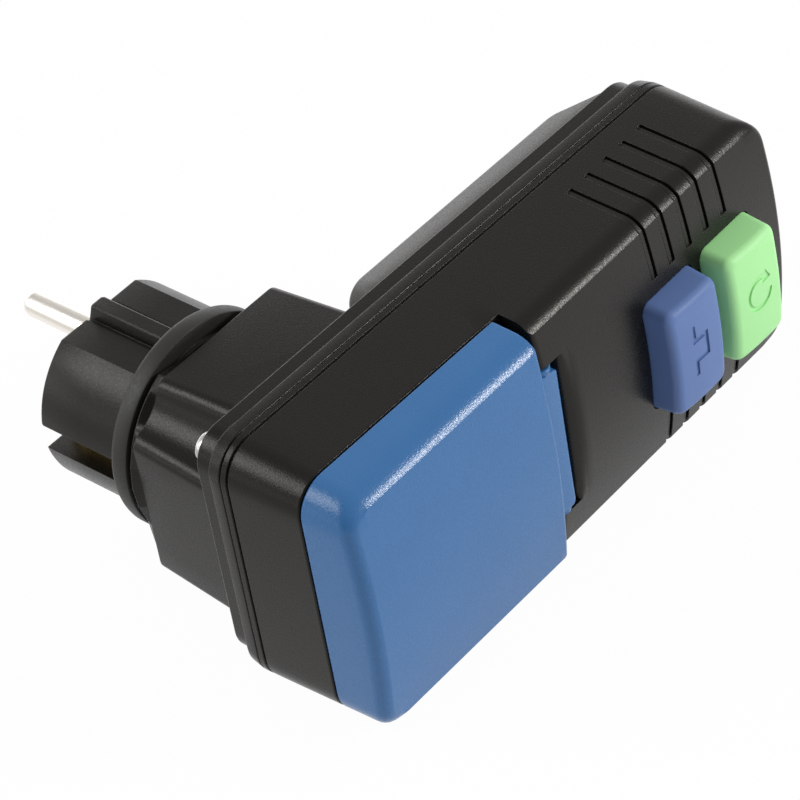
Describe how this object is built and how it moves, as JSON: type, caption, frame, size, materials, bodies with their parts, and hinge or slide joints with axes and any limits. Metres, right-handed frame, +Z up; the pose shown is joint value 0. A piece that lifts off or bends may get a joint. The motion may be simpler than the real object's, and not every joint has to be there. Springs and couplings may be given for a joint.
{
  "type": "rcd adapter plug",
  "caption": "Plug-in residual-current adapter: earthed pin plug behind, splash-proof outlet under a sprung hinged lid, test and reset buttons on a crowned dark housing.",
  "frame": {"origin": "centre of the bounding box at its base, with the housing lying on its long side", "axes": "+X along the housing from the lid end to the button end, +Y the way the plug pins point, +Z up across the housing's width"},
  "size_m": [0.1208, 0.104, 0.0536],
  "materials": {
    "shell": "spark-eroded matte, near black",
    "lid_blue": "satin blue",
    "test_blue": "soft matte blue-violet",
    "reset_green": "soft matte light green",
    "seal_rubber": "matte",
    "pin_nickel": "bright nickel plate",
    "contact_brass": "stamped",
    "copper": "stamped copper alloy",
    "steel": "zinc plated",
    "well_black": "fine matte",
    "board_green": "solder resist",
    "component_blue": "epoxy coated",
    "core_iron": "ferrite",
    "winding": "enamelled copper wire",
    "carrier_cream": "moulded"
  },
  "bodies": {
    "housing": {"rear_cover": "shell", "housing_seal": "seal_rubber", "front_shell": "shell", "cover_screws": "steel", "plug_body": "shell", "plug_pin_line": "pin_nickel", "plug_pin_neutral": "pin_nickel", "plug_earth_strap": "contact_brass", "plug_retaining_nut": "steel", "plug_seal_ring": "seal_rubber", "socket_insert": "well_black", "socket_contact_line": "contact_brass", "socket_contact_neutral": "contact_brass", "socket_earth_clip": "contact_brass", "earth_link": "contact_brass", "line_in_bar": "copper", "neutral_in_bar": "copper", "line_out_bar": "copper", "neutral_out_bar": "copper", "fixed_contacts": "steel", "circuit_board": "board_green", "board_components": "component_blue", "transformer_core": "core_iron", "transformer_winding": "winding", "trip_coil": "winding", "trip_frame": "steel", "carrier_guide_posts": "steel", "reset_springs": "steel", "test_spring": "steel", "hinge_pin": "steel", "lid_spring": "steel"},
    "lid": {"lid": "lid_blue", "lid_seal": "seal_rubber"},
    "test_button": {"test_button": "test_blue"},
    "reset_button": {"reset_button": "reset_green"},
    "contact_carrier": {"contact_carrier": "carrier_cream", "moving_contacts": "contact_brass"},
    "trip_plunger": {"trip_plunger": "steel"}
  },
  "joints": [
    {"name": "lid_hinge", "type": "hinge", "parent": "housing", "child": "lid", "pos_m": [-0.00615, -0.04395, 0.0268], "axis": [0, 0, 1], "range_deg": [0, 90], "stiffness_Nm_per_rad": 0.02, "springref_deg": -34.38, "deforming": ["lid_spring"]},
    {"name": "test_press", "type": "slide", "parent": "housing", "child": "test_button", "axis": [0, 1, 0], "range_m": [0, 0.0022], "stiffness_N_per_m": 900, "springref_m": -0.001, "deforming": ["test_spring"]},
    {"name": "reset_press", "type": "slide", "parent": "housing", "child": "reset_button", "axis": [0, 1, 0], "range_m": [0, 0.0022], "stiffness_N_per_m": 1200, "springref_m": -0.001},
    {"name": "carrier_slide", "type": "slide", "parent": "housing", "child": "contact_carrier", "axis": [0, 1, 0], "range_m": [0, 0.0022], "deforming": ["reset_springs"]},
    {"name": "trip_pull", "type": "slide", "parent": "housing", "child": "trip_plunger", "axis": [1, 0, 0], "range_m": [0, 0.0015], "stiffness_N_per_m": 150, "springref_m": -0.0005}
  ],
  "couplings": [
    {"joint": "carrier_slide", "follows": "reset_press", "ratio": 1}
  ]
}
